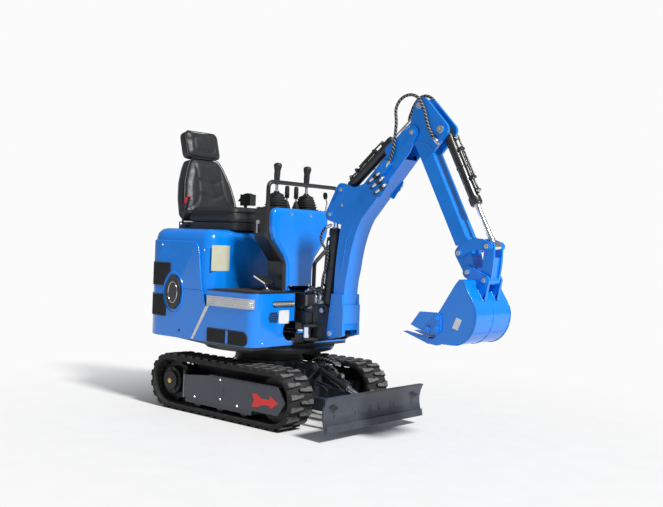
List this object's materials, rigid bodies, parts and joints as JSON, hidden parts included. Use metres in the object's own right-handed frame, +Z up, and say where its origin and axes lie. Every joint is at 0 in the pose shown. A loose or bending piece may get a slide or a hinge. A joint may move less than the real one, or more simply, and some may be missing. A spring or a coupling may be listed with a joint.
{
  "type": "mini excavator",
  "caption": "Small tracked excavator with an open operator's seat, control console, dozer blade, swing boom, arm and bucket, all worked by hydraulic cylinders.",
  "frame": {"origin": "on the ground, under the middle of the overall box", "axes": "+X from the tail towards the blade and bucket, +Y to the operator's left, +Z up"},
  "size_m": [2.373, 0.867, 1.8418],
  "materials": {
    "paint_blue": "glossy blue enamel",
    "paint_dark": "dark grey enamel, slightly worn",
    "paint_black": "semi-gloss black",
    "track_rubber": "moulded matt rubber",
    "boot_rubber": "ribbed matt rubber",
    "vinyl": "grained black vinyl over foam",
    "chrome": "hard chrome, polished",
    "steel": "bare machined steel"
  },
  "bodies": {
    "undercarriage": {"carbody": "paint_dark", "slew_ring": "steel", "track_right": "track_rubber", "track_left": "track_rubber", "side_frame_right": "paint_dark", "side_frame_left": "paint_dark", "sprocket_right": "paint_dark", "sprocket_left": "paint_dark", "idler_right": "paint_dark", "idler_left": "paint_dark"},
    "blade": {"dozer_blade": "paint_dark"},
    "blade_barrel": {"blade_cylinder_barrel": "paint_black"},
    "blade_rod": {"blade_cylinder_rod": "chrome"},
    "house": {"slew_frame": "paint_black", "engine": "paint_dark", "engine_hood": "paint_blue", "tail_cover_left": "paint_blue", "side_skirt_right": "paint_blue", "side_skirt_left": "paint_blue", "floor_plate": "paint_black", "console_frame": "paint_black", "console_cover": "paint_blue", "handrail": "paint_black", "control_deck": "boot_rubber", "joystick_right": "paint_black", "joystick_left": "paint_black", "travel_lever_right": "paint_black", "travel_lever_left": "paint_black", "blade_lever": "paint_black", "foot_pedal": "steel", "seat_pan": "paint_black", "seat_cushion": "vinyl", "seat_backrest": "vinyl", "headrest": "vinyl", "belt_buckle": "paint_black", "belt_reel": "paint_black"},
    "cover": {"service_cover": "paint_blue", "cover_cap": "paint_black"},
    "swing_barrel": {"swing_cylinder_barrel": "paint_black"},
    "swing_rod": {"swing_cylinder_rod": "chrome"},
    "swing_post": {"kingpost": "paint_black"},
    "boom_barrel": {"boom_cylinder_barrel": "paint_black"},
    "boom_rod": {"boom_cylinder_rod": "chrome"},
    "boom": {"boom": "paint_blue"},
    "arm_barrel": {"arm_cylinder_barrel": "paint_black"},
    "arm_rod": {"arm_cylinder_rod": "chrome"},
    "arm": {"arm": "paint_blue"},
    "bucket_barrel": {"bucket_cylinder_barrel": "paint_black"},
    "bucket_rod": {"bucket_cylinder_rod": "chrome"},
    "idler_link": {"idler_link": "paint_blue"},
    "tipping_link": {"tipping_link": "paint_blue"},
    "bucket": {"bucket": "paint_blue", "side_cutter_right": "paint_blue", "side_cutter_left": "paint_blue"}
  },
  "joints": [
    {"name": "slew", "type": "hinge", "parent": "undercarriage", "child": "house", "pos_m": [-0.4035, 0, 0.37], "axis": [0, 0, 1], "continuous": true},
    {"name": "blade_lift", "type": "hinge", "parent": "undercarriage", "child": "blade", "pos_m": [-0.0585, 0, 0.15], "axis": [0, -1, 0], "range_deg": [-20, 17]},
    {"name": "cover_open", "type": "hinge", "parent": "house", "child": "cover", "pos_m": [-1.1865, -0.004, 0.74], "axis": [0, 0, -1], "range_deg": [0, 75]},
    {"name": "boom_swing", "type": "hinge", "parent": "house", "child": "swing_post", "pos_m": [-0.0635, 0, 0.6], "axis": [0, 0, 1], "range_deg": [-50, 60]},
    {"name": "boom_lift", "type": "hinge", "parent": "swing_post", "child": "boom", "pos_m": [0.1585, 0, 0.533], "axis": [0, -1, 0], "range_deg": [-90, 8]},
    {"name": "arm_swing", "type": "hinge", "parent": "boom", "child": "arm", "pos_m": [0.6695, 0, 1.656], "axis": [0, 1, 0], "range_deg": [-75, 25]},
    {"name": "bucket_curl", "type": "hinge", "parent": "arm", "child": "bucket", "pos_m": [1.0535, 0, 0.927], "axis": [0, -1, 0], "range_deg": [-35, 90]},
    {"name": "blade_cylinder_tilt", "type": "hinge", "parent": "undercarriage", "child": "blade_barrel", "pos_m": [0.0115, 0, 0.319], "axis": [0, -1, 0], "range_deg": [-19.8, 16.9]},
    {"name": "blade_cylinder_stroke", "type": "slide", "parent": "blade_barrel", "child": "blade_rod", "axis": [0.9243, 0, -0.3817], "range_m": [-0.0534, 0.0628]},
    {"name": "swing_cylinder_tilt", "type": "hinge", "parent": "house", "child": "swing_barrel", "pos_m": [-0.5835, -0.12, 0.526], "axis": [0, 0, 1], "range_deg": [-4.7, 5.6]},
    {"name": "swing_cylinder_stroke", "type": "slide", "parent": "swing_barrel", "child": "swing_rod", "axis": [0.9992, 0.04, 0], "range_m": [-0.0756, 0.0907]},
    {"name": "boom_cylinder_tilt", "type": "hinge", "parent": "swing_post", "child": "boom_barrel", "pos_m": [0.0665, 0, 0.656], "axis": [0, -1, 0], "range_deg": [-93.5, 8.4]},
    {"name": "boom_cylinder_stroke", "type": "slide", "parent": "boom_barrel", "child": "boom_rod", "axis": [0.0786, 0, 0.9969], "range_m": [-0.019, 0.2135]},
    {"name": "arm_cylinder_tilt", "type": "hinge", "parent": "boom", "child": "arm_barrel", "pos_m": [0.1855, 0, 1.355], "axis": [0, 1, 0], "range_deg": [-8.6, 2.9]},
    {"name": "arm_cylinder_stroke", "type": "slide", "parent": "arm_barrel", "child": "arm_rod", "axis": [0.76, 0, 0.6499], "range_m": [-0.1498, 0.05]},
    {"name": "bucket_cylinder_tilt", "type": "hinge", "parent": "arm", "child": "bucket_barrel", "pos_m": [0.8465, 0, 1.662], "axis": [0, -1, 0], "range_deg": [-0.4, 0.2]},
    {"name": "bucket_cylinder_stroke", "type": "slide", "parent": "bucket_barrel", "child": "bucket_rod", "axis": [0.4648, 0, -0.8854], "range_m": [-0.1367, 0.0532]},
    {"name": "idler_turn", "type": "hinge", "parent": "arm", "child": "idler_link", "pos_m": [0.9955, 0, 1.022], "axis": [0, -1, 0], "range_deg": [-19.5, 50.1]},
    {"name": "tipping_turn", "type": "hinge", "parent": "idler_link", "child": "tipping_link", "pos_m": [1.1615, 0, 1.062], "axis": [0, -1, 0], "range_deg": [-34.1, 13.3]}
  ],
  "couplings": [
    {"joint": "blade_cylinder_tilt", "follows": "blade_lift", "ratio": 0.9894},
    {"joint": "blade_cylinder_stroke", "follows": "blade_lift", "m_per_rad": -0.17987},
    {"joint": "swing_cylinder_tilt", "follows": "boom_swing", "ratio": 0.0922},
    {"joint": "swing_cylinder_stroke", "follows": "boom_swing", "m_per_rad": 0.08658},
    {"joint": "boom_cylinder_tilt", "follows": "boom_lift", "ratio": 1.0385},
    {"joint": "boom_cylinder_stroke", "follows": "boom_lift", "m_per_rad": -0.13591},
    {"joint": "arm_cylinder_tilt", "follows": "arm_swing", "ratio": 0.114},
    {"joint": "arm_cylinder_stroke", "follows": "arm_swing", "m_per_rad": 0.1144},
    {"joint": "bucket_cylinder_tilt", "follows": "bucket_curl", "ratio": -0.0034},
    {"joint": "bucket_cylinder_stroke", "follows": "bucket_curl", "m_per_rad": -0.08697},
    {"joint": "idler_turn", "follows": "bucket_curl", "ratio": 0.556},
    {"joint": "tipping_turn", "follows": "bucket_curl", "ratio": -0.3784}
  ]
}
